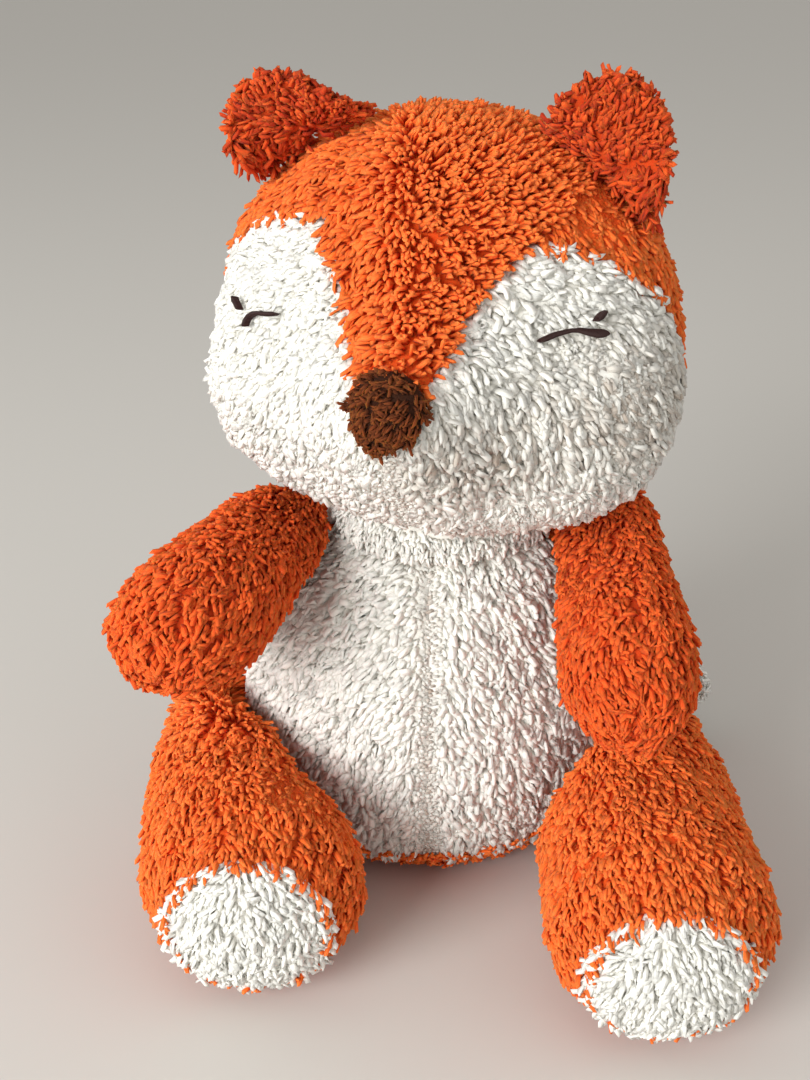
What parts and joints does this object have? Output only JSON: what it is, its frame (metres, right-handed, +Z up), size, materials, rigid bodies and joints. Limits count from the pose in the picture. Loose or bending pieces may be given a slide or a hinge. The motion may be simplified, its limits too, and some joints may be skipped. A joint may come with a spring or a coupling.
{
  "type": "plush fox",
  "caption": "Seated plush fox of curly fleece over fibre filling, with a soft turning head, folding ears, swinging arms, legs that spread and a tail.",
  "frame": {"origin": "middle of the flat seat, on the surface the fox sits on", "axes": "+Z up, -Y the way the body faces, +X the fox's left"},
  "size_m": [0.2239, 0.2336, 0.2817],
  "materials": {
    "orange_fleece": "orange curly pile, sewn fleece",
    "white_fleece": "off-white curly pile, sewn fleece",
    "brown_pile": "dark brown long pile",
    "eye_thread": "dark satin stitch",
    "polyester_fibre": "white loose fibre"
  },
  "bodies": {
    "torso": {"left_back_panel": "orange_fleece", "left_belly_panel": "white_fleece", "right_back_panel": "orange_fleece", "right_belly_panel": "white_fleece", "seat_panel": "orange_fleece", "torso_stuffing": "polyester_fibre"},
    "neck": {"neck_stuffing": "polyester_fibre"},
    "head": {"forehead_panel": "orange_fleece", "head_stuffing": "polyester_fibre", "left_cheek_panel": "white_fleece", "left_eye_arc": "eye_thread", "left_eye_lash": "eye_thread", "left_head_back_panel": "orange_fleece", "nose": "brown_pile", "right_cheek_panel": "white_fleece", "right_eye_arc": "eye_thread", "right_eye_lash": "eye_thread", "right_head_back_panel": "orange_fleece"},
    "left_ear": {"left_ear_back_panel": "orange_fleece", "left_ear_front_panel": "orange_fleece"},
    "right_ear": {"right_ear_back_panel": "orange_fleece", "right_ear_front_panel": "orange_fleece"},
    "left_arm": {"left_arm_inner_panel": "orange_fleece", "left_arm_outer_panel": "orange_fleece", "left_arm_stuffing": "polyester_fibre"},
    "right_arm": {"right_arm_inner_panel": "orange_fleece", "right_arm_outer_panel": "orange_fleece", "right_arm_stuffing": "polyester_fibre"},
    "left_leg": {"left_foot_pad": "white_fleece", "left_leg_inner_panel": "orange_fleece", "left_leg_outer_panel": "orange_fleece", "left_leg_stuffing": "polyester_fibre"},
    "right_leg": {"right_foot_pad": "white_fleece", "right_leg_inner_panel": "orange_fleece", "right_leg_outer_panel": "orange_fleece", "right_leg_stuffing": "polyester_fibre"},
    "tail": {"tail_sleeve": "orange_fleece", "tail_stuffing": "polyester_fibre", "tail_tip": "white_fleece"}
  },
  "joints": [
    {"name": "head_turn", "type": "hinge", "parent": "torso", "child": "neck", "pos_m": [0.005, -0.004, 0.115], "axis": [0, 0, 1], "range_deg": [-12, 12], "stiffness_Nm_per_rad": 0.4},
    {"name": "head_nod", "type": "hinge", "parent": "neck", "child": "head", "pos_m": [0.005, -0.004, 0.115], "axis": [0.9703, -0.2419, 0], "range_deg": [-8, 2], "stiffness_Nm_per_rad": 1.2},
    {"name": "left_ear_fold", "type": "hinge", "parent": "head", "child": "left_ear", "pos_m": [0.05087, -0.03338, 0.2529], "axis": [0.7898, -0.2073, -0.5773], "range_deg": [-15, 2], "stiffness_Nm_per_rad": 0.03},
    {"name": "right_ear_fold", "type": "hinge", "parent": "head", "child": "right_ear", "pos_m": [-0.03657, -0.01174, 0.25963], "axis": [0.874, -0.195, 0.4451], "range_deg": [-15, 2], "stiffness_Nm_per_rad": 0.03},
    {"name": "left_arm_swing", "type": "hinge", "parent": "torso", "child": "left_arm", "pos_m": [0.061, -0.015, 0.128], "axis": [-1, 0, 0], "range_deg": [-3, 15], "stiffness_Nm_per_rad": 0.25},
    {"name": "right_arm_swing", "type": "hinge", "parent": "torso", "child": "right_arm", "pos_m": [-0.051, -0.015, 0.128], "axis": [-1, 0, 0], "range_deg": [-8, 15], "stiffness_Nm_per_rad": 0.25},
    {"name": "left_leg_spread", "type": "hinge", "parent": "torso", "child": "left_leg", "pos_m": [0.055, -0.002, 0.05], "axis": [0, 0, 1], "range_deg": [-0.5, 12], "stiffness_Nm_per_rad": 0.3},
    {"name": "right_leg_spread", "type": "hinge", "parent": "torso", "child": "right_leg", "pos_m": [-0.055, -0.002, 0.05], "axis": [0, 0, -1], "range_deg": [-0.5, 12], "stiffness_Nm_per_rad": 0.3},
    {"name": "tail_swing", "type": "hinge", "parent": "torso", "child": "tail", "pos_m": [0.006, 0.054, 0.028], "axis": [0, 0, 1], "range_deg": [-2, 12], "stiffness_Nm_per_rad": 0.12}
  ]
}
